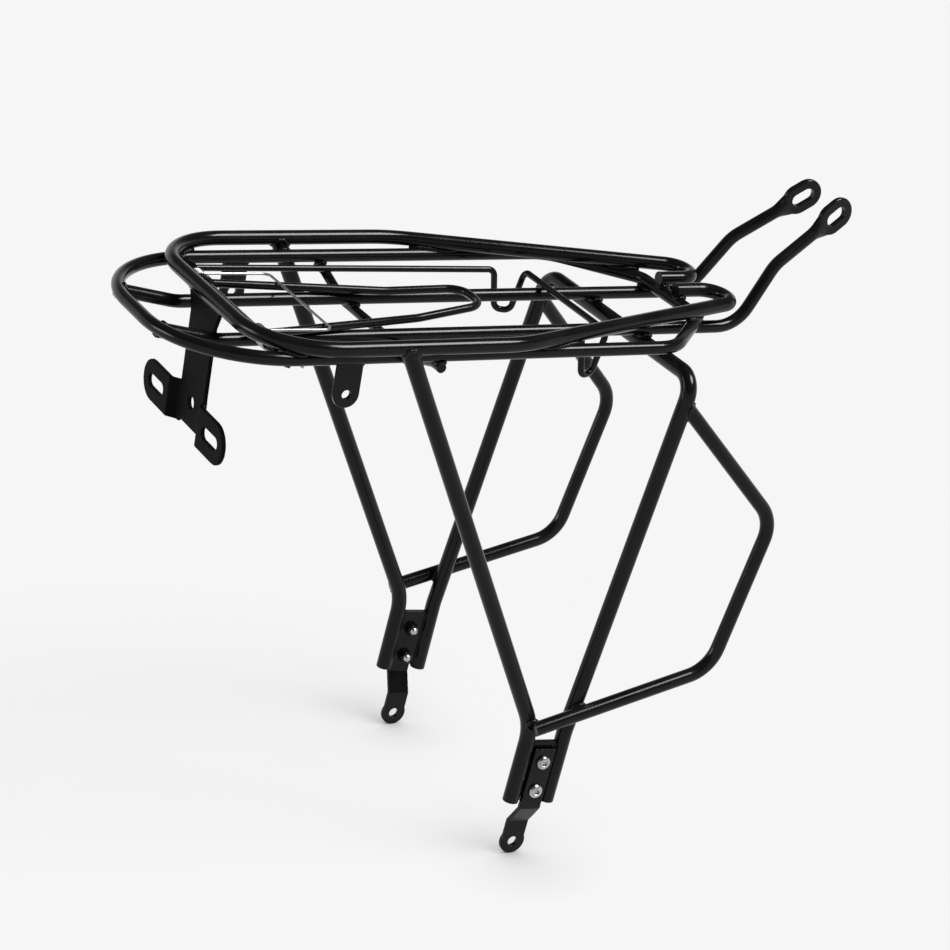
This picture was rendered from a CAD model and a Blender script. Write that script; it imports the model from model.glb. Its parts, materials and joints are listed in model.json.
"""Black bicycle rear rack: finishes, welds, clip spring, bolts, plates and studio.

Every piece is in metres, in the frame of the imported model: +X runs forward to
the stays, +Y to the left and +Z up. The origin lies midway between the eyelets
of the two feet. The classes hold their sizes in millimetres.
"""

from __future__ import annotations

import json
import logging
import math
from dataclasses import dataclass, field
from enum import Enum, IntEnum
from typing import Callable, Iterable, Sequence

import bpy
from mathutils import Matrix, Vector

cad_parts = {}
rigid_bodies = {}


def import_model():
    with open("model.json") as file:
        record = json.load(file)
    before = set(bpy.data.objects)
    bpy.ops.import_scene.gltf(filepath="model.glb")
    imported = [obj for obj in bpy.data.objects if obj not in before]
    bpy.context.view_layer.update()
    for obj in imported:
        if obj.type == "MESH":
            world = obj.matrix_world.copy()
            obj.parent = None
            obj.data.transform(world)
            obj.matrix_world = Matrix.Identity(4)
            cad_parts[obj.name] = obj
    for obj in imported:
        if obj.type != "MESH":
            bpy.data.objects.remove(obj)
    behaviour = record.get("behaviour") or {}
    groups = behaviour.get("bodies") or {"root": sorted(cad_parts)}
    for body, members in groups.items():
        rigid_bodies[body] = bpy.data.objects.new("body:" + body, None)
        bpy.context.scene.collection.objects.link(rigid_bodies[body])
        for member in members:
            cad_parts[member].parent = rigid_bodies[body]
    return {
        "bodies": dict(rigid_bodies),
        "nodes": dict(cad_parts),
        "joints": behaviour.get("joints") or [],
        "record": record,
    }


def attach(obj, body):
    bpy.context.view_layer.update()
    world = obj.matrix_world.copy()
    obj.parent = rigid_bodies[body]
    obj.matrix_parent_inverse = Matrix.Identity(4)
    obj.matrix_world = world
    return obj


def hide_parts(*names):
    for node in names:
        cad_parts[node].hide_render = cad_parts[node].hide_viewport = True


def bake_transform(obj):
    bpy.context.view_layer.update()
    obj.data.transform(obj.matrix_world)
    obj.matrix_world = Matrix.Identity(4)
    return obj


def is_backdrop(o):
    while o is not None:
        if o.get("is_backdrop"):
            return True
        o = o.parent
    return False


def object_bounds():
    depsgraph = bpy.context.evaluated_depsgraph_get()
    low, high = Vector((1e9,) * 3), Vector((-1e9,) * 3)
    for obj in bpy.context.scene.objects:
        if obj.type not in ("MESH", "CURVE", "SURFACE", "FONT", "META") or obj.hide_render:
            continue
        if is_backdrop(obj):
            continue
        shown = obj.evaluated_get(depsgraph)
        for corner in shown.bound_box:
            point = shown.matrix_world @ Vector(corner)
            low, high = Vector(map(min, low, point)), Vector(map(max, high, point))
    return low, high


LOG = logging.getLogger("rack")
MM = 0.001
NOISE_SPAN = (0.3, 0.7)
RAMP_ENDS = (0.32, 0.68)

Socket = bpy.types.NodeSocket
NodeTree = bpy.types.NodeTree
Material = bpy.types.Material
Thing = bpy.types.Object
Mesh = bpy.types.Mesh
RadiusAt = Callable[[float], float]
Pair = tuple[float, float]
Triple = tuple[float, float, float]


class Side(IntEnum):
    """The rack's two sides, as the sign of their Y."""

    RIGHT = -1
    LEFT = 1


class Slot(Enum):
    """The record's material slots."""

    COAT = "powder_coat"
    ZINC = "zinc_steel"
    SPRING = "spring_steel"


@dataclass(frozen=True)
class Seam:
    """A line of points in mm that a weld bead follows."""

    points: list[Vector]
    closed: bool
    size: float = 1.0


@dataclass(frozen=True)
class Rod:
    """A straight stretch of round rod: a point, a direction and a radius in mm."""

    point: Vector
    way: Vector
    radius: float

    def distance(self, place: Vector) -> float:
        """Distance of a place from the rod's centre line."""
        apart = place - self.point
        return (apart - self.way * apart.dot(self.way)).length


def rod(point: Sequence[float], toward: Sequence[float], diameter: float) -> Rod:
    """Describe a rod by two points on its centre line.

    Args:
        point: A point on the centre line, in mm.
        toward: A second point on it.
        diameter: The rod's diameter in mm.

    Returns:
        The rod.
    """
    start = Vector(point)
    return Rod(start, (Vector(toward) - start).normalized(), diameter / 2)


def along(y: float, z: float, diameter: float) -> Rod:
    """A rod along the rack."""
    return rod((0, y, z), (1, y, z), diameter)


def across(x: float, z: float, diameter: float) -> Rod:
    """A rod across the rack."""
    return rod((x, 0, z), (x, 1, z), diameter)


def leaving(rod_d: float, plate_t: float) -> float:
    """How far from a rod's centre line a plate's face leaves the rod."""
    return math.sqrt((rod_d / 2) ** 2 - (plate_t / 2) ** 2)


def rounded(points: Sequence[Vector], radius: float, steps: int = 10) -> list[Vector]:
    """Round the corners of a bent wire.

    Args:
        points: The wire's ends and corners.
        radius: The bend's radius.
        steps: Points along each bend.

    Returns:
        The wire's line.
    """
    line = [points[0]]
    for before, corner, after in zip(points, points[1:], points[2:]):
        into, out = (corner - before).normalized(), (after - corner).normalized()
        turn = into.angle(out)
        reach = radius * math.tan(turn / 2)
        inward = (out - into).normalized()
        centre = corner + inward * (radius / math.cos(turn / 2))
        start = corner - into * reach - centre
        axis = into.cross(out).normalized()
        spins = [Matrix.Rotation(turn * k / steps, 3, axis) for k in range(steps + 1)]
        line += [centre + spin @ start for spin in spins]
    return line + [points[-1]]


def add_thing(name: str, data: bpy.types.ID) -> Thing:
    """Link an object to the scene.

    Args:
        name: The object's name.
        data: Its mesh, curve, camera or light.

    Returns:
        The object.
    """
    thing = bpy.data.objects.new(name, data)
    bpy.context.scene.collection.objects.link(thing)
    return thing


def bake(carrier: Thing, name: str, group: NodeTree | None = None) -> Thing:
    """Turn what a carrier's modifiers make into a plain mesh piece.

    Args:
        carrier: The object with the modifiers, removed afterwards.
        name: The piece's name.
        group: A node group to run on the carrier.

    Returns:
        The piece.
    """
    if group is not None:
        carrier.modifiers.new("make", "NODES").node_group = group
    seen = carrier.evaluated_get(bpy.context.evaluated_depsgraph_get())
    mesh = bpy.data.meshes.new_from_object(seen)
    carrier.modifiers.clear()
    bpy.data.objects.remove(carrier)
    mesh.name = name
    return add_thing(name, mesh)


def report(piece: Thing) -> None:
    """Log a piece that has been made."""
    LOG.info("%s: %d faces", piece.name, len(piece.data.polygons))


class NodeWords:
    """Short words for adding nodes to a tree."""

    def __init__(self, tree: NodeTree) -> None:
        """Take the tree that the nodes go into."""
        self.tree = tree

    def set(self, socket: Socket, value: object) -> None:
        """Link or set an input.

        Args:
            socket: The input.
            value: The socket to link to it, or its value.
        """
        if isinstance(value, Socket):
            self.tree.links.new(value, socket)
        else:
            socket.default_value = value

    def node(self, kind: str, values: dict | None = None, **settings: object) -> bpy.types.Node:
        """Add a node.

        Args:
            kind: The node's type.
            values: Values or sockets for its inputs, by name or number.
            settings: The node's own properties.

        Returns:
            The node.
        """
        node = self.tree.nodes.new(kind)
        for name, value in settings.items():
            setattr(node, name, value)
        for name, value in (values or {}).items():
            self.set(node.inputs[name], value)
        return node

    def maths(self, operation: str, *values: object) -> Socket:
        """Add a math node.

        Args:
            operation: The node's operation.
            values: Sockets or numbers for its inputs.

        Returns:
            Its value.
        """
        node = self.node("ShaderNodeMath", dict(enumerate(values)), operation=operation)
        return node.outputs[0]

    def span(self, value: Socket, onto: Pair, ends: Pair = NOISE_SPAN) -> Socket:
        """Map a stretch of a value onto another.

        Args:
            value: The value.
            onto: What the stretch's two ends become.
            ends: The stretch's two ends.

        Returns:
            The mapped value.
        """
        names = ("From Min", "From Max", "To Min", "To Max")
        inputs = {"Value": value, **dict(zip(names, (*ends, *onto)))}
        return self.node("ShaderNodeMapRange", inputs).outputs["Result"]


class ShaderTree(NodeWords):
    """A material's nodes round one Principled shader."""

    def __init__(self, name: str) -> None:
        """Start a material.

        Args:
            name: The material's name.
        """
        self.material = bpy.data.materials.new(name)
        self.material.use_nodes = True
        super().__init__(self.material.node_tree)
        self.tree.nodes.clear()
        self.surface = self.node("ShaderNodeOutputMaterial").inputs["Surface"]
        self.shader = self.node("ShaderNodeBsdfPrincipled")
        self.set(self.surface, self.shader.outputs["BSDF"])
        self.place = self.node("ShaderNodeTexCoord").outputs["Object"]

    def noise(self, scale: float, detail: float = 2.0, stretch: Triple = (1, 1, 1)) -> Socket:
        """Add a noise on Object coordinates.

        Args:
            scale: Lumps per metre.
            detail: Octaves of finer noise.
            stretch: Scale along X, Y and Z.

        Returns:
            The noise's factor.
        """
        mapping = self.node("ShaderNodeMapping", {"Scale": stretch, "Vector": self.place})
        values = {"Scale": scale, "Detail": detail, "Vector": mapping.outputs["Vector"]}
        return self.node("ShaderNodeTexNoise", values).outputs[0]

    def colours(self, factor: Socket, dark: Triple, light: Triple) -> Socket:
        """Mix two colours by a noise.

        Args:
            factor: The noise.
            dark: The low colour.
            light: The high colour.

        Returns:
            The mixed colour.
        """
        ramp = self.node("ShaderNodeValToRGB", {"Fac": factor})
        for element, place, colour in zip(ramp.color_ramp.elements, RAMP_ENDS, (dark, light)):
            element.position = place
            element.color = (*colour, 1)
        return ramp.outputs["Color"]

    def bump(
        self, height: Socket, strength: float, depth: float, under: Socket | None = None
    ) -> Socket:
        """Turn a height into a bump.

        Args:
            height: The height.
            strength: The bump's strength.
            depth: A height of 1 in metres.
            under: A bump below this one.

        Returns:
            The bent normal.
        """
        values = {"Strength": strength, "Distance": depth, "Height": height}
        if under is not None:
            values["Normal"] = under
        return self.node("ShaderNodeBump", values).outputs["Normal"]

    def feed(self, name: str, value: object) -> None:
        """Set a shader input, or link a socket to it."""
        self.set(self.shader.inputs[name], value)


@dataclass(frozen=True)
class PowderCoat:
    """Satin black powder coat with a fine orange peel."""

    name: str = "satin_black_coat"
    dark: Triple = (0.0028, 0.0028, 0.0031)
    light: Triple = (0.0052, 0.0052, 0.0056)
    gloss: float = 0.17
    rough: Pair = (0.13, 0.21)
    peel_per_metre: float = 620.0
    specks_to_peel: float = 5.0
    cloud_per_metre: float = 45.0
    cloud_detail: float = 3.0
    peel_bump: float = 0.03
    peel_deep: float = 0.15
    speck_bump: float = 0.01
    speck_deep: float = 0.05

    def make(self) -> Material:
        """Build the finish.

        Returns:
            The material.
        """
        tree = ShaderTree(self.name)
        cloud = tree.noise(self.cloud_per_metre, self.cloud_detail)
        peel = tree.noise(self.peel_per_metre)
        speck = tree.noise(self.peel_per_metre * self.specks_to_peel, 1.0)
        tree.feed("Base Color", tree.colours(cloud, self.dark, self.light))
        tree.feed("Roughness", tree.span(cloud, self.rough))
        tree.feed("Specular IOR Level", self.gloss)
        coarse = tree.bump(peel, self.peel_bump, self.peel_deep * MM)
        fine = tree.bump(speck, self.speck_bump, self.speck_deep * MM, coarse)
        tree.feed("Normal", fine)
        return tree.material


@dataclass(frozen=True)
class BrightZinc:
    """Bright zinc plate on the bolts."""

    dark: Triple = (0.3, 0.3, 0.29)
    light: Triple = (0.5, 0.5, 0.49)
    rough: Pair = (0.16, 0.28)
    grain_per_metre: float = 1500.0
    grain_detail: float = 3.0
    grains_to_cloud: float = 6.0
    grain_bump: float = 0.05
    grain_deep: float = 0.02

    def make(self) -> Material:
        """Build the finish.

        Returns:
            The material.
        """
        tree = ShaderTree("bright_zinc")
        grain = tree.noise(self.grain_per_metre, self.grain_detail)
        cloud = tree.noise(self.grain_per_metre / self.grains_to_cloud)
        tree.feed("Base Color", tree.colours(cloud, self.dark, self.light))
        tree.feed("Metallic", 1.0)
        tree.feed("Roughness", tree.span(grain, self.rough))
        tree.feed("Normal", tree.bump(grain, self.grain_bump, self.grain_deep * MM))
        return tree.material


@dataclass(frozen=True)
class SpringSteel:
    """Drawn spring wire, grey, with fine marks of the die."""

    dark: Triple = (0.26, 0.26, 0.265)
    light: Triple = (0.46, 0.46, 0.46)
    rough: Pair = (0.3, 0.45)
    marks_per_metre: float = 900.0
    marks_stretch: Triple = (1, 0.2, 1)
    marks_bump: float = 0.08
    marks_deep: float = 0.03

    def make(self) -> Material:
        """Build the finish.

        Returns:
            The material.
        """
        tree = ShaderTree("drawn_spring_wire")
        marks = tree.noise(self.marks_per_metre, stretch=self.marks_stretch)
        tree.feed("Base Color", tree.colours(marks, self.dark, self.light))
        tree.feed("Metallic", 1.0)
        tree.feed("Roughness", tree.span(marks, self.rough))
        tree.feed("Normal", tree.bump(marks, self.marks_bump, self.marks_deep * MM))
        return tree.material


@dataclass(frozen=True)
class Finishes:
    """The made materials, one for each slot."""

    made: dict[Slot, Material]

    @classmethod
    def make(cls) -> Finishes:
        """Make all three finishes."""
        looks = {Slot.COAT: PowderCoat(), Slot.ZINC: BrightZinc(), Slot.SPRING: SpringSteel()}
        return cls({slot: look.make() for slot, look in looks.items()})

    def dress(self, thing: Thing, slot: Slot) -> None:
        """Give an object one finish."""
        thing.data.materials.clear()
        thing.data.materials.append(self.made[slot])

    def dress_nodes(self, frame: dict) -> None:
        """Give every CAD node the finish of its slot in the record.

        Args:
            frame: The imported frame.
        """
        slots = {part["node"]: part["material_slot"] for part in frame["record"]["subparts"]}
        for name, thing in frame["nodes"].items():
            self.dress(thing, Slot(slots[name]))


class GeometryTree(NodeWords):
    """A Geometry Nodes group that ends in one material."""

    def __init__(self, name: str, sizes: dict[str, float], finish: Material) -> None:
        """Start a group.

        Args:
            name: The group's name.
            sizes: Its named inputs and their values.
            finish: The material that it sets at its end.
        """
        super().__init__(bpy.data.node_groups.new(name, "GeometryNodeTree"))
        face = self.tree.interface
        face.new_socket("Given", in_out="INPUT", socket_type="NodeSocketGeometry")
        for size, value in sizes.items():
            socket = face.new_socket(size, in_out="INPUT", socket_type="NodeSocketFloat")
            socket.default_value = value
        face.new_socket("Made", in_out="OUTPUT", socket_type="NodeSocketGeometry")
        self.given = self.node("NodeGroupInput").outputs
        self.made = self.node("NodeGroupOutput").inputs["Made"]
        self.finish = finish

    def close(self, geometry: Socket) -> NodeTree:
        """Realize and paint the result.

        Args:
            geometry: What the group has made.

        Returns:
            The finished group.
        """
        real = self.node("GeometryNodeRealizeInstances", {"Geometry": geometry})
        values = {"Geometry": real.outputs["Geometry"], "Material": self.finish}
        paint = self.node("GeometryNodeSetMaterial", values)
        self.set(self.made, paint.outputs["Geometry"])
        return self.tree


def curve_carrier(name: str, lines: Iterable[Seam]) -> Thing:
    """Make a curve object of straight-sided lines.

    Args:
        name: The object's name.
        lines: The lines, in mm, each with its share of the bead's size.

    Returns:
        The curve object, in metres.
    """
    data = bpy.data.curves.new(name, "CURVE")
    data.dimensions = "3D"
    for line in lines:
        spline = data.splines.new("POLY")
        spline.points.add(len(line.points) - 1)
        for point, place in zip(spline.points, line.points):
            point.co = (*(place * MM), 1.0)
            point.radius = line.size
        spline.use_cyclic_u = line.closed
    return add_thing(name, data)


def sweep(tree: GeometryTree, curve: Socket, size: Socket, sides: int) -> Socket:
    """Sweep a round section along curves.

    Args:
        tree: The group being built.
        curve: The curves.
        size: The section's radius, which may change along the curve.
        sides: Points round the section.

    Returns:
        The smooth mesh.
    """
    profile = tree.node("GeometryNodeCurvePrimitiveCircle", {"Resolution": sides, "Radius": 1.0})
    inputs = {"Curve": curve, "Profile Curve": profile.outputs["Curve"], "Scale": size}
    tube = tree.node("GeometryNodeCurveToMesh", {**inputs, "Fill Caps": True})
    smooth = tree.node("GeometryNodeSetShadeSmooth", {"Geometry": tube.outputs["Mesh"]})
    return smooth.outputs["Geometry"]


@dataclass
class Welds:
    """Weld beads where the rods and plates meet."""

    gap: float = 1.5
    bead: float = 1.2
    plate_bead: float = 0.75
    ripple: float = 0.13
    ripple_length: float = 1.7
    step: float = 0.4
    points: int = 48
    sides: int = 8
    look_back: float = 60.0
    least_off: float = 1e-6
    crossing_halvings: int = 40
    end_halvings: int = 50

    def crossing(self, one: Rod, other: Rod) -> Seam:
        """Follow the line round a crossing where two rods stand a set gap apart.

        Args:
            one: One rod.
            other: The rod that it touches.

        Returns:
            A closed seam.
        """
        normal = one.way.cross(other.way).normalized()
        apart = one.point - other.point
        if apart.dot(normal) < 0:
            normal.negate()
        turn = other.way.cross(one.way)
        shift = apart.cross(one.way).dot(turn) / turn.length_squared
        centre = other.point + other.way * shift + normal * other.radius
        first = (one.way + other.way * math.copysign(1, one.way.dot(other.way))).normalized()
        second = normal.cross(first)
        line = []
        for step in range(self.points):
            angle = math.tau * step / self.points
            out = first * math.cos(angle) + second * math.sin(angle)
            offs = [(out - way * out.dot(way)).length for way in (one.way, other.way)]
            limits = zip((one.radius, other.radius), offs)
            near, far = 0.0, min(radius / max(off, self.least_off) for radius, off in limits)
            rises = [0.0, 0.0]
            for _ in range(self.crossing_halvings):
                reach = (near + far) / 2
                rises = [
                    piece.radius - math.sqrt(max(piece.radius**2 - (reach * off) ** 2, 0.0))
                    for piece, off in zip((one, other), offs)
                ]
                near, far = (near, reach) if sum(rises) > self.gap else (reach, far)
            line.append(centre + out * near + normal * ((rises[0] - rises[1]) / 2))
        return Seam(line, True)

    def end(self, branch: Rod, main: Rod) -> Seam:
        """Follow the line where a coped rod end meets the rod it is welded to.

        Args:
            branch: The rod that ends, its direction pointing at the main rod.
            main: The rod that runs through.

        Returns:
            A closed seam.
        """
        side = branch.way.cross(main.way).normalized()
        other = side.cross(branch.way)
        slant = branch.way.cross(main.way).length
        line = []
        for step in range(self.points):
            angle = math.tau * step / self.points
            out = side * math.cos(angle) + other * math.sin(angle)
            start = branch.point + out * branch.radius
            sideways = branch.way - main.way * branch.way.dot(main.way)
            far = -(start - main.point).dot(sideways) / slant**2
            near = far - self.look_back
            if main.distance(start + branch.way * far) < main.radius:
                for _ in range(self.end_halvings):
                    reach = (near + far) / 2
                    inside = main.distance(start + branch.way * reach) < main.radius
                    near, far = (near, reach) if inside else (reach, far)
            line.append(start + branch.way * far)
        return Seam(line, True)

    def straight(self, start: Sequence[float], finish: Sequence[float]) -> Seam:
        """A straight seam along a plate's edge."""
        return Seam([Vector(start), Vector(finish)], False, self.plate_bead / self.bead)

    def tree(self, finish: Material) -> NodeTree:
        """Build the nodes that lay a rippled bead along curves.

        Args:
            finish: The bead's material.

        Returns:
            The node group.
        """
        sizes = {
            "Bead Radius": self.bead * MM,
            "Ripple Share": self.ripple,
            "Ripple Length": self.ripple_length * MM,
            "Step": self.step * MM,
        }
        tree = GeometryTree("weld_bead", sizes, finish)
        values = {"Curve": tree.given["Given"], "Length": tree.given["Step"]}
        even = tree.node("GeometryNodeResampleCurve", values, mode="LENGTH")
        place = tree.node("GeometryNodeSplineParameter")
        share = tree.node("GeometryNodeInputRadius")
        turns = tree.maths("DIVIDE", place.outputs["Length"], tree.given["Ripple Length"])
        wave = tree.maths("SINE", tree.maths("MULTIPLY", turns, math.tau))
        swell = tree.maths("MULTIPLY_ADD", wave, tree.given["Ripple Share"], 1.0)
        own = tree.maths("MULTIPLY", share.outputs["Radius"], tree.given["Bead Radius"])
        size = tree.maths("MULTIPLY", swell, own)
        return tree.close(sweep(tree, even.outputs["Curve"], size, self.sides))

    def lay(self, name: str, seams: Iterable[Seam], finish: Material) -> Thing:
        """Lay beads along seams.

        Args:
            name: The piece's name.
            seams: The seams.
            finish: The beads' material.

        Returns:
            One mesh piece with all the beads.
        """
        carrier = curve_carrier(name + "_seams", seams)
        return bake(carrier, name, self.tree(finish))


@dataclass
class Deck:
    """Deck loop, inner stay rods, strut, hinge rod and rail tabs."""

    z: float = 330.0
    rod_d: float = 8.0
    rail_half: float = 80.0
    rail_front_x: float = 51.0
    crossbar_x: float = 96.0
    crossbar_half: float = 34.0
    rear_x: float = -262.0
    stay_half: float = 30.0
    stay_z: float = 321.9
    stay_rise_x: float = -224.0
    rear_r: float = 66.0
    strut_x: float = -108.0
    strut_z: float = 314.8
    strut_end_z: float = 322.9
    hinge_x: float = -203.0
    hinge_z: float = 329.0
    thin_d: float = 6.0
    tab_x: float = -165.0
    tab_w: float = 16.0
    tab_t: float = 3.0

    def rail(self, side: Side) -> Rod:
        """The straight rail on one side."""
        return along(side * self.rail_half, self.z, self.rod_d)

    def nose(self, side: Side) -> Rod:
        """The loop's slanted run from a rail to the crossbar."""
        y, end = side * self.rail_half, side * self.crossbar_half
        return rod((self.rail_front_x, y, self.z), (self.crossbar_x, end, self.z), self.rod_d)

    def crossbar(self) -> Rod:
        """The loop's front run."""
        return across(self.crossbar_x, self.z, self.rod_d)

    def stay(self, side: Side) -> Rod:
        """The inner rod on one side."""
        return along(side * self.stay_half, self.stay_z, self.rod_d)

    def stay_end(self, side: Side) -> Rod:
        """The inner rod's rear end, which rises to the loop."""
        y = side * self.stay_half
        return rod((self.stay_rise_x, y, self.stay_z), (self.rear_x, y, self.z), self.rod_d)

    def rear_bend(self, side: Side) -> Rod:
        """The loop's rear bend where an inner rod meets it.

        Args:
            side: The inner rod's side.

        Returns:
            The bend's tangent there.
        """
        out = self.stay_half - (self.rail_half - self.rear_r)
        back = math.sqrt(self.rear_r**2 - out**2)
        place = Vector((self.rear_x + self.rear_r - back, side * self.stay_half, self.z))
        return rod(place, place + Vector((out, side * back, 0)), self.rod_d)

    def seams(self, welds: Welds) -> list[Seam]:
        """List the deck's own seams.

        Args:
            welds: What finds the seams.

        Returns:
            The seams.
        """
        found = []
        hinge = across(self.hinge_x, self.hinge_z, self.thin_d)
        for side in Side:
            stay, rail = self.stay(side), self.rail(side)
            found += [
                welds.crossing(self.crossbar(), stay),
                welds.end(self.stay_end(side), self.rear_bend(side)),
                welds.crossing(across(self.strut_x, self.strut_z, self.thin_d), stay),
                welds.crossing(across(self.strut_x, self.strut_end_z, self.thin_d), rail),
                welds.crossing(hinge, stay),
                welds.end(Rod(hinge.point, hinge.way * side, hinge.radius), rail),
            ]
            for face in (-1, 1):
                y = side * self.rail_half + face * self.tab_t / 2
                z = self.z - leaving(self.rod_d, self.tab_t)
                half = self.tab_w / 2
                found.append(welds.straight((self.tab_x - half, y, z), (self.tab_x + half, y, z)))
        return found


@dataclass
class Gallery:
    """Raised rail on top of the deck, and the lamp plate under its rear bar."""

    z: float = 338.6
    rod_d: float = 9.0
    rear_x: float = -219.0
    rear_r: float = 46.0
    half: float = 89.2
    taper_x: float = -60.0
    front_x: float = 121.0
    hook_in: float = 10.0
    hook_out: float = 33.0
    plate_t: float = 2.5
    plate_half: float = 22.0

    def side_run(self, side: Side) -> Rod:
        """The straight run beside the deck."""
        return along(side * self.half, self.z, self.rod_d)

    def taper(self, side: Side) -> Rod:
        """The slanted run towards the front hook."""
        y, end = side * self.half, side * self.hook_out
        return rod((self.taper_x, y, self.z), (self.front_x, end, self.z), self.rod_d)

    def hook(self, side: Side) -> Rod:
        """The hook's short end over the crossbar."""
        return along(side * self.hook_in, self.z, self.rod_d)

    def corner(self, side: Side, rail_half: float) -> Rod:
        """The rear bend where it passes over a rail.

        Args:
            side: The rail's side.
            rail_half: Its distance from the middle.

        Returns:
            The bend's tangent there.
        """
        middle = Vector((self.rear_x + self.rear_r, side * (self.half - self.rear_r), self.z))
        out = side * rail_half - middle.y
        back = -math.sqrt(self.rear_r**2 - out**2)
        place = middle + Vector((back, out, 0))
        return rod(place, place + Vector((-out, back, 0)), self.rod_d)

    def seams(self, welds: Welds, deck: Deck) -> list[Seam]:
        """List the seams between the gallery, the deck and the lamp plate.

        Args:
            welds: What finds the seams.
            deck: The deck below.

        Returns:
            The seams.
        """
        found = []
        for side in Side:
            found += [
                welds.crossing(self.hook(side), deck.crossbar()),
                welds.crossing(self.taper(side), deck.nose(side)),
                welds.crossing(self.taper(side), deck.rail(side)),
                welds.crossing(self.corner(side, deck.rail_half), deck.rail(side)),
            ]
            x = self.rear_x + side * self.plate_t / 2
            z = self.z - leaving(self.rod_d, self.plate_t)
            found.append(welds.straight((x, -self.plate_half, z), (x, self.plate_half, z)))
        return found


@dataclass
class Legs:
    """Leg arch, rear legs, bag hoops and the feet's gussets."""

    rod_d: float = 10.0
    y: float = 89.2
    arch_x: float = 62.0
    arch_z: float = 312.8
    rear_x: float = -135.0
    tilt: float = 5.0
    end_half: float = 13.0
    end_z: float = 32.0
    front_kink: float = 80.0
    rear_kink: float = 84.0
    gusset_t: float = 3.0
    gusset_top: float = 74.0
    bead_inset: float = 1.0
    hoop_d: float = 9.0
    hoop_y: float = 98.8
    hoop_top: float = 297.0
    hoop_nose: Pair = (135.0, 220.0)
    hoop_heel: Pair = (112.0, 119.0)
    hoop_end: Pair = (-9.0, 88.0)

    def leaned(self, x: float, y: float, z: float) -> Vector:
        """Where a foot's point lies once the foot is leaned."""
        return Matrix.Rotation(math.radians(self.tilt), 3, "Y") @ Vector((x, y, z))

    def front(self, side: Side) -> Rod:
        """The straight of a front leg."""
        foot = self.leaned(self.end_half, side * self.y, self.front_kink)
        return rod(foot, (self.arch_x, side * self.y, self.arch_z), self.rod_d)

    def rear(self, side: Side, top_z: float) -> Rod:
        """The straight of a rear leg, upwards."""
        foot = self.leaned(-self.end_half, side * self.y, self.rear_kink)
        return rod(foot, (self.rear_x, side * self.y, top_z), self.rod_d)

    def hoop_low(self, side: Side) -> Rod:
        """The hoop's lower run."""
        (hx, hz), (ex, ez), y = self.hoop_heel, self.hoop_end, side * self.hoop_y
        return rod((hx, y, hz), (ex, y, ez), self.hoop_d)

    def hoop_high(self, side: Side) -> Rod:
        """The hoop's upper run.

        Args:
            side: The hoop's side.

        Returns:
            The run, pointing at the front leg.
        """
        rise = (self.hoop_top - self.front_kink) / (self.arch_z - self.front_kink)
        start = self.end_half + (self.arch_x - self.end_half) * rise
        nx, nz = self.hoop_nose
        return rod((nx, side * self.hoop_y, nz), (start, side * self.y, self.hoop_top), self.hoop_d)

    def seams(self, welds: Welds, deck: Deck, gallery: Gallery) -> list[Seam]:
        """List the legs' seams.

        Args:
            welds: What finds the seams.
            deck: The deck that the legs carry.
            gallery: The rail that the rear legs reach.

        Returns:
            The seams.
        """
        found = []
        for side in Side:
            front, rear = self.front(side), self.rear(side, gallery.z)
            low = self.hoop_low(side)
            found += [
                welds.crossing(across(self.arch_x, self.arch_z, self.rod_d), deck.stay(side)),
                welds.end(rear, gallery.side_run(side)),
                welds.crossing(rear, deck.rail(side)),
                welds.end(self.hoop_high(side), front),
                welds.crossing(low, front),
                welds.crossing(low, rear),
            ]
            near = self.end_half - leaving(self.rod_d, self.gusset_t)
            heights = (self.end_z + self.bead_inset, self.gusset_top - self.bead_inset)
            for end in (-1, 1):
                for face in (-1, 1):
                    y = side * self.y + face * self.gusset_t / 2
                    ends = [self.leaned(end * near, y, z) for z in heights]
                    found.append(welds.straight(*ends))
        return found


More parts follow.
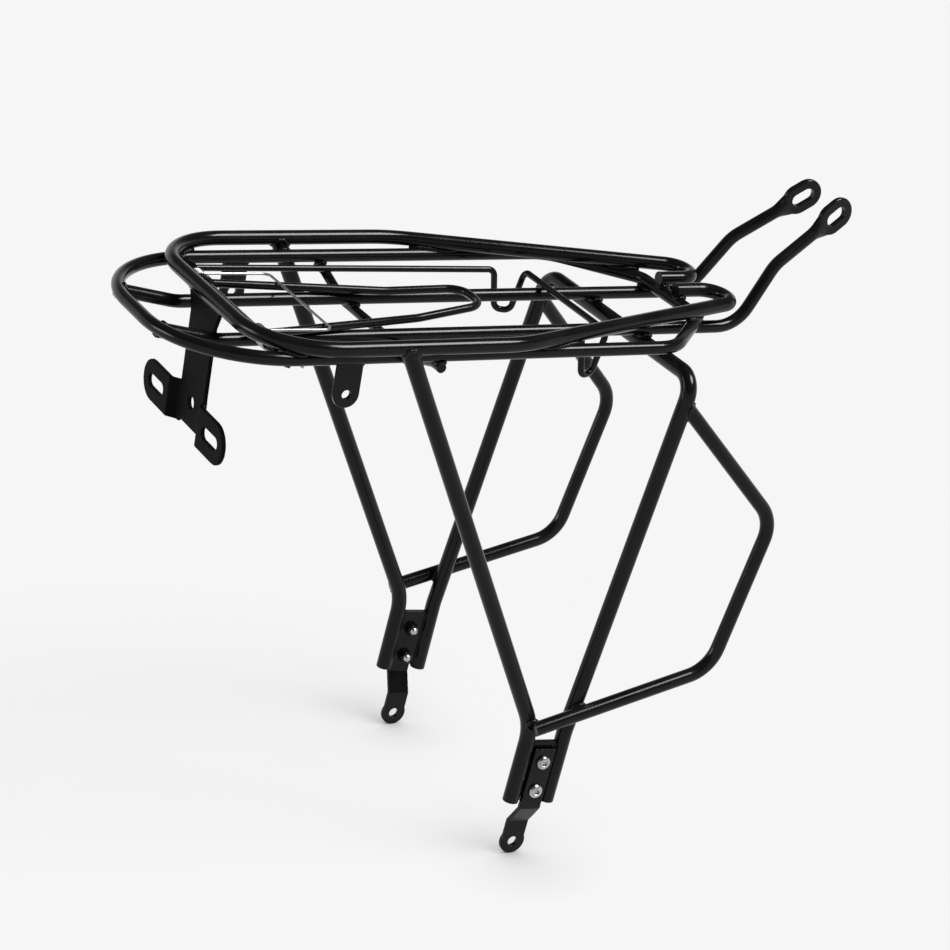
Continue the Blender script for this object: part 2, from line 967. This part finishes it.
@dataclass
class ClipSpring:
    """Double torsion spring on the hinge rod that presses the clip down."""

    wire_d: float = 1.6
    hinge_x: float = -203.0
    hinge_z: float = 329.0
    coil_r: float = 4.1
    inner_y: float = 44.6
    pitch: float = 1.9
    turns: float = 4.5
    bridge_x: float = -160.0
    bridge_z: float = 332.4
    bridge_r: float = 5.0
    leg: float = 9.0
    leg_r: float = 3.0
    under_rail: float = 325.1
    rail_half: float = 80.0
    steps_per_turn: int = 36
    sides: int = 14

    @property
    def outer_y(self) -> float:
        """Where the coil's outer end lies."""
        return self.inner_y + self.turns * self.pitch

    def line(self, side: Side) -> list[Vector]:
        """Follow half the wire, from the rail through the coil to the bridge's middle.

        Args:
            side: Which half.

        Returns:
            The wire's line in mm.
        """
        x, z = self.hinge_x, self.hinge_z
        joint_x = x + self.wire_d / 4
        under = [
            Vector((x + self.leg, self.rail_half, self.under_rail)),
            Vector((x + self.leg, self.outer_y, z - self.coil_r)),
            Vector((joint_x, self.outer_y, z - self.coil_r)),
        ]
        line = rounded(under, self.leg_r)
        count = round(self.turns * self.steps_per_turn)
        for k in range(count + 1):
            turn = math.tau * self.turns * k / count
            y = self.outer_y - self.pitch * self.turns * k / count
            out, up = self.coil_r * math.sin(turn), self.coil_r * math.cos(turn)
            line.append(Vector((x - out, y, z - up)))
        over = [
            Vector((joint_x, self.inner_y, z + self.coil_r)),
            Vector((self.bridge_x, self.inner_y, self.bridge_z)),
            Vector((self.bridge_x, 0, self.bridge_z)),
        ]
        line += rounded(over, self.bridge_r)
        return [Vector((p.x, side * p.y, p.z)) for p in line]

    def tree(self, finish: Material) -> NodeTree:
        """Build the nodes that draw the wire along its line."""
        tree = GeometryTree("drawn_wire", {"Wire Radius": self.wire_d / 2 * MM}, finish)
        return tree.close(sweep(tree, tree.given["Given"], tree.given["Wire Radius"], self.sides))

    def build(self, finish: Material) -> None:
        """Make both halves, each wound between the frame and the clip.

        Args:
            finish: The wire's material.
        """
        for side in Side:
            name = f"clip_spring_wire_{side.name.lower()}"
            carrier = curve_carrier(name + "_line", [Seam(self.line(side), False)])
            piece = bake(carrier, name, self.tree(finish))
            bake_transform(piece)
            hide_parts("clip_spring")
            report(piece)


@dataclass
class FootBolts:
    """Button-head bolts and hexagon nuts that hold the feet's tabs."""

    tilt: float = 5.0
    places_z: Pair = (41.0, 61.0)
    seat_y: float = 93.7
    nut_face_y: float = 83.7
    tip_y: float = 82.2
    shank_d: float = 5.0
    thread_pitch: float = 0.8
    thread_deep: float = 0.45
    head_d: float = 9.5
    head_h: float = 2.75
    head_flat_d: float = 5.2
    hex_flats: float = 3.0
    hex_deep: float = 1.6
    nut_flats: float = 8.0
    nut_h: float = 4.0
    around: int = 48
    tip_taper: float = 0.9
    tip_h: float = 0.5
    crest: Pair = (0.45, 0.55)
    thread_past_nut: float = 3.0
    runout: float = 0.4
    rim_inset: float = 0.25
    rim_low: float = 0.12
    rim_high: float = 0.45
    dome_steps: int = 8
    socket_chamfer: float = 0.35
    socket_chamfer_h: float = 0.18
    socket_cone_h: float = 0.45
    socket_tip_r: float = 0.3
    bore_clear: float = 0.02
    bore_chamfer: float = 0.3
    nut_round_share: float = 0.96
    nut_chamfer_angle: float = 30.0
    nut_chamfer_depths: tuple[float, ...] = (0.0, 0.12, 0.24, 0.36, 0.5)
    sharp_angle: float = 32.0

    @staticmethod
    def hexagon(flats: float) -> RadiusAt:
        """Radius of a hexagon at an angle, from its width across flats."""
        sixth = math.tau / 6
        return lambda angle: flats / 2 / math.cos((angle % sixth) - sixth / 2)

    def turned(self, name: str, rings: Sequence[tuple[float, RadiusAt]], closed: bool) -> Mesh:
        """Loft rings round the Z axis.

        Args:
            name: The mesh's name.
            rings: Heights with the radius at each angle, in mm.
            closed: Whether the last ring joins the first, as round a bore.

        Returns:
            The mesh, in metres.
        """
        count = self.around
        angles = [math.tau * k / count for k in range(count)]
        points = [
            (radius(a) * math.cos(a) * MM, radius(a) * math.sin(a) * MM, height * MM)
            for height, radius in rings
            for a in angles
        ]
        faces: list[tuple[int, ...]] = []
        last = len(points) - count
        for low in range(0, len(points) if closed else last, count):
            high = (low + count) % len(points)
            for k in range(count):
                right = (k + 1) % count
                faces.append((low + k, low + right, high + right, high + k))
        if not closed:
            faces += [tuple(reversed(range(count))), tuple(range(last, last + count))]
        mesh = bpy.data.meshes.new(name)
        mesh.from_pydata(points, [], faces)
        mesh.validate()
        return mesh

    def bolt_mesh(self) -> Mesh:
        """Make one bolt along Z, its seat at zero and its head upwards.

        Returns:
            The mesh.
        """

        def even(radius: float) -> RadiusAt:
            """A round ring."""
            return lambda angle: radius

        shank = self.shank_d / 2
        length = self.seat_y - self.tip_y
        root = shank - self.thread_deep
        height = -length + self.tip_h
        rings = [(-length, even(shank - self.tip_taper)), (height, even(root))]
        while height < -length + self.nut_h + self.thread_past_nut:
            rings += [(height + self.thread_pitch * share, even(shank)) for share in self.crest]
            height += self.thread_pitch
            rings.append((height, even(root)))
        rim, flat = self.head_d / 2, self.head_flat_d / 2
        rings += [(height + self.runout, even(shank)), (0.0, even(shank))]
        rings += [(0.0, even(rim - self.rim_inset)), (self.rim_low, even(rim))]
        rings.append((self.rim_high, even(rim)))
        for k in range(1, self.dome_steps + 1):
            turn = math.pi / 2 * k / self.dome_steps
            rise = (self.head_h - self.rim_high) * math.sin(turn)
            rings.append((self.rim_high + rise, even(flat + (rim - flat) * math.cos(turn))))
        socket = self.hexagon(self.hex_flats)
        floor = self.head_h - self.hex_deep
        rings += [
            (self.head_h, self.hexagon(self.hex_flats + self.socket_chamfer)),
            (self.head_h - self.socket_chamfer_h, socket),
            (floor, socket),
            (floor - self.socket_cone_h, even(self.socket_tip_r)),
        ]
        return self.turned("foot_bolt", rings, False)

    def nut_mesh(self) -> Mesh:
        """Make one chamfered nut along Z, from zero up.

        Returns:
            The mesh.
        """
        outer = self.hexagon(self.nut_flats)
        bore = self.shank_d / 2 + self.bore_clear
        mouth = bore + self.bore_chamfer
        slope = math.tan(math.radians(self.nut_chamfer_angle))

        def cut(depth: float) -> RadiusAt:
            """The hexagon as its end chamfer leaves it at a depth."""
            cone = self.nut_flats / 2 * self.nut_round_share + depth / slope
            return lambda angle: min(outer(angle), cone)

        depths = self.nut_chamfer_depths
        rings = [(0.0, lambda angle: mouth)]
        rings += [(depth, cut(depth)) for depth in depths]
        rings += [(self.nut_h - depth, cut(depth)) for depth in reversed(depths)]
        rings += [
            (self.nut_h, lambda angle: mouth),
            (self.nut_h - self.bore_chamfer, lambda angle: bore),
            (self.bore_chamfer, lambda angle: bore),
        ]
        return self.turned("foot_nut", rings, True)

    def spread(self, name: str, mesh: Mesh, y: float, finish: Material) -> Thing:
        """Set one fastener at all four bolt places.

        Args:
            name: The piece's name.
            mesh: The fastener along Z.
            y: Its distance from the middle plane, in mm.
            finish: Its material.

        Returns:
            One mesh piece with all four.
        """
        lean = Matrix.Rotation(math.radians(self.tilt), 3, "Y")
        places, turns = [], []
        for side in Side:
            for z in self.places_z:
                places.append(lean @ Vector((0, side * y, z)) * MM)
                turn = lean @ Matrix.Rotation(math.radians(-90 * side), 3, "X")
                turns += turn.to_euler()
        carrier_mesh = bpy.data.meshes.new(name + "_places")
        carrier_mesh.from_pydata(places, [], [])
        attribute = carrier_mesh.attributes.new("turn", "FLOAT_VECTOR", "POINT")
        attribute.data.foreach_set("vector", turns)
        carrier = add_thing(name + "_places", carrier_mesh)
        model = add_thing(name + "_model", mesh)
        tree = GeometryTree(name, {"Size": 1.0}, finish)
        shape = tree.node("GeometryNodeObjectInfo", {"Object": model})
        stored = "GeometryNodeInputNamedAttribute"
        turn = tree.node(stored, {"Name": "turn"}, data_type="FLOAT_VECTOR")
        spin = tree.node("FunctionNodeEulerToRotation", {"Euler": turn.outputs["Attribute"]})
        values = {
            "Points": tree.given["Given"],
            "Instance": shape.outputs["Geometry"],
            "Rotation": spin.outputs["Rotation"],
            "Scale": tree.given["Size"],
        }
        copies = tree.node("GeometryNodeInstanceOnPoints", values)
        piece = bake(carrier, name, tree.close(copies.outputs["Instances"]))
        bpy.data.objects.remove(model)
        piece.data.shade_smooth()
        piece.data.set_sharp_from_angle(angle=math.radians(self.sharp_angle))
        return piece

    def build(self, finishes: Finishes) -> None:
        """Make the bright bolts and the black nuts in place of the plain ones.

        Args:
            finishes: The made materials.
        """
        for kind, mesh, y, slot in (
            ("bolt", self.bolt_mesh(), self.seat_y, Slot.ZINC),
            ("nut", self.nut_mesh(), self.nut_face_y, Slot.COAT),
        ):
            piece = self.spread(f"foot_{kind}s", mesh, y, finishes.made[slot])
            names = [
                f"foot_{kind}_{side.name.lower()}_{place}"
                for side in Side
                for place in ("lower", "upper")
            ]
            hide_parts(*names)
            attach(piece, "frame")
            report(piece)


@dataclass
class PressedPlates:
    """Lamp plate, tabs and gussets, with the rounded rims and bends of pressed sheet."""

    lamp_grain: float = 0.5
    tab_grain: float = 0.32
    rounding: int = 7
    pull: float = 0.5
    lamp: str = "lamp_bracket"
    lamp_gloss: float = 0.02
    lamp_rough: Pair = (0.45, 0.55)
    tabs: tuple[str, ...] = ("foot_tab", "foot_gusset", "rail_tab")

    def grains(self) -> dict[str, float]:
        """List the pressed nodes with the fineness of their mesh in mm."""
        tabs = [f"{tab}_{side.name.lower()}" for side in Side for tab in self.tabs]
        return {self.lamp: self.lamp_grain, **dict.fromkeys(tabs, self.tab_grain)}

    def rounded_copy(self, node: Thing, grain: float) -> Thing:
        """Copy a node's mesh and round its rims and bends.

        Args:
            node: The CAD node.
            grain: The fineness of the copy in mm.

        Returns:
            The copy as a piece.
        """
        name = f"{node.name}_pressed"
        raw = add_thing(f"{name}_raw", node.data.copy())
        remesh = raw.modifiers.new("grain", "REMESH")
        remesh.mode = "VOXEL"
        remesh.voxel_size = grain * MM
        remesh.use_smooth_shade = True
        smooth = raw.modifiers.new("rims", "SMOOTH")
        smooth.factor = self.pull
        smooth.iterations = self.rounding
        piece = bake(raw, name)
        piece.data.shade_smooth()
        return piece

    def build(self, frame: dict, finishes: Finishes) -> None:
        """Make a rounded piece in place of each pressed node.

        Args:
            frame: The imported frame.
            finishes: The made materials.
        """
        coat = PowderCoat("matte_black_coat", gloss=self.lamp_gloss, rough=self.lamp_rough)
        matte = coat.make()
        for node, grain in self.grains().items():
            piece = self.rounded_copy(frame["nodes"][node], grain)
            finishes.dress(piece, Slot.COAT)
            if node == self.lamp:
                piece.data.materials[0] = matte
            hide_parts(node)
            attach(piece, "frame")
            report(piece)


@dataclass
class Studio:
    """Pale floor, soft light and the photograph's camera, in metres."""

    azimuth: float = -32.04
    elevation: float = 22.36
    roll: float = 10.18
    distance: float = 1.7296
    target: Triple = (-0.0216, 0.0, 0.2146)
    lens: float = 106.1
    sensor: float = 36.0
    floor_size: float = 60.0
    floor_tone: float = 0.56
    floor_rough: float = 0.9
    floor_glow: float = 0.93
    floor_glow_share: float = 0.86
    contact_reach: float = 0.06
    world_tone: float = 0.12
    horizon_tone: float = 0.92
    horizon: Pair = (0.22, 0.4)
    overhead: float = 5.2
    overhead_width: float = 28.0
    overhead_from: Triple = (0.4, -0.34, 0.85)
    edge: float = 1.1
    edge_width: float = 26.0
    edge_from: Triple = (-0.92, 0.37, 0.12)

    def back(self) -> Vector:
        """Direction from the target to the camera."""
        a, e = math.radians(self.azimuth), math.radians(self.elevation)
        return Vector((math.sin(a) * math.cos(e), -math.cos(a) * math.cos(e), math.sin(e)))

    def camera(self) -> None:
        """Place the camera by its angles round the target."""
        data = bpy.data.cameras.new("photo_camera")
        data.lens = self.lens
        data.sensor_width = self.sensor
        thing = add_thing("photo_camera", data)
        turn = (-self.back()).to_track_quat("-Z", "Y").to_matrix().to_4x4()
        turn = turn @ Matrix.Rotation(math.radians(self.roll), 4, "Z")
        place = Vector(self.target) + self.back() * self.distance
        thing.matrix_world = Matrix.Translation(place) @ turn
        bpy.context.scene.camera = thing

    @staticmethod
    def seen(tree: NodeWords) -> Socket:
        """Tell the rays that show the background from those that light the rack.

        Args:
            tree: The nodes of the floor or the world.

        Returns:
            1 for camera, glossy and transmission rays, 0 for others.
        """
        rays = tree.node("ShaderNodeLightPath").outputs
        found = rays["Is Camera Ray"]
        for kind in ("Is Glossy Ray", "Is Transmission Ray"):
            found = tree.maths("MAXIMUM", found, rays[kind])
        return found

    def floor(self, low: float) -> None:
        """Lay the floor just under the feet, darker where they touch it.

        Args:
            low: The feet's lowest height.
        """
        tree = ShaderTree("pale_floor")
        tree.feed("Base Color", (*[self.floor_tone] * 3, 1))
        tree.feed("Roughness", self.floor_rough)
        tree.feed("Specular IOR Level", 0.0)
        contact = tree.node("ShaderNodeAmbientOcclusion", {"Distance": self.contact_reach})
        values = {"Color": (*[self.floor_glow] * 3, 1), "Strength": contact.outputs["AO"]}
        glow = tree.node("ShaderNodeEmission", values).outputs["Emission"]
        share = tree.maths("MULTIPLY", self.seen(tree), self.floor_glow_share)
        mixed = {"Fac": share, 1: tree.shader.outputs["BSDF"], 2: glow}
        tree.set(tree.surface, tree.node("ShaderNodeMixShader", mixed).outputs["Shader"])
        half = self.floor_size / 2
        mesh = bpy.data.meshes.new("floor")
        corners = [(-half, -half, low), (half, -half, low), (half, half, low), (-half, half, low)]
        mesh.from_pydata(corners, [], [(0, 1, 2, 3)])
        mesh.materials.append(tree.material)
        add_thing("floor", mesh)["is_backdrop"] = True

    def sun(self, name: str, power: float, width: float, place: Triple) -> None:
        """Set a far, broad light.

        Args:
            name: The light's name.
            power: Its strength in watts per square metre.
            width: How wide it looks from the rack, in degrees.
            place: The direction that it comes from.
        """
        data = bpy.data.lights.new(name, "SUN")
        data.energy = power
        data.angle = math.radians(width)
        turn = (-Vector(place)).to_track_quat("-Z", "Y")
        add_thing(name, data).matrix_world = turn.to_matrix().to_4x4()

    def light(self) -> None:
        """Set the world with its pale horizon, and the two lights."""
        world = bpy.data.worlds.new("studio")
        world.use_nodes = True
        tree = NodeWords(world.node_tree)
        place = tree.node("ShaderNodeTexCoord").outputs["Generated"]
        height = tree.node("ShaderNodeSeparateXYZ", {"Vector": place}).outputs["Z"]
        band = tree.span(height, (self.horizon_tone, self.world_tone), self.horizon)
        values = {"Factor": self.seen(tree), "A": self.world_tone, "B": band}
        sky = world.node_tree.nodes["Background"].inputs
        tree.set(sky["Strength"], tree.node("ShaderNodeMix", values).outputs["Result"])
        tree.set(sky["Color"], (1, 1, 1, 1))
        bpy.context.scene.world = world
        self.sun("overhead", self.overhead, self.overhead_width, self.overhead_from)
        self.sun("edge_light", self.edge, self.edge_width, self.edge_from)

    def build(self, low: float) -> None:
        """Build the whole studio.

        Args:
            low: The feet's lowest height.
        """
        bpy.context.scene.view_settings.view_transform = "Standard"
        self.camera()
        self.floor(low)
        self.light()


@dataclass
class Rack:
    """The whole rack, sub-assembly by sub-assembly."""

    deck: Deck = field(default_factory=Deck)
    gallery: Gallery = field(default_factory=Gallery)
    legs: Legs = field(default_factory=Legs)
    welds: Welds = field(default_factory=Welds)
    spring: ClipSpring = field(default_factory=ClipSpring)
    bolts: FootBolts = field(default_factory=FootBolts)
    plates: PressedPlates = field(default_factory=PressedPlates)

    def build(self, frame: dict, finishes: Finishes) -> None:
        """Make the pieces that the CAD nodes lack.

        Args:
            frame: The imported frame.
            finishes: The made materials.
        """
        seams = self.deck.seams(self.welds)
        seams += self.gallery.seams(self.welds, self.deck)
        seams += self.legs.seams(self.welds, self.deck, self.gallery)
        beads = self.welds.lay("frame_weld_beads", seams, finishes.made[Slot.COAT])
        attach(beads, "frame")
        LOG.info("%s: %d seams, %d faces", beads.name, len(seams), len(beads.data.polygons))
        self.spring.build(finishes.made[Slot.SPRING])
        self.bolts.build(finishes)
        self.plates.build(frame, finishes)


def main() -> None:
    """Dress the frame, build the rack's finer pieces and set up the studio."""
    logging.basicConfig(level=logging.INFO, format="%(message)s")
    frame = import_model()
    cad_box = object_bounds()
    finishes = Finishes.make()
    finishes.dress_nodes(frame)
    Rack().build(frame, finishes)
    Studio().build(cad_box[0].z)
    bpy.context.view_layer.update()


if __name__ == "__main__":
    main()
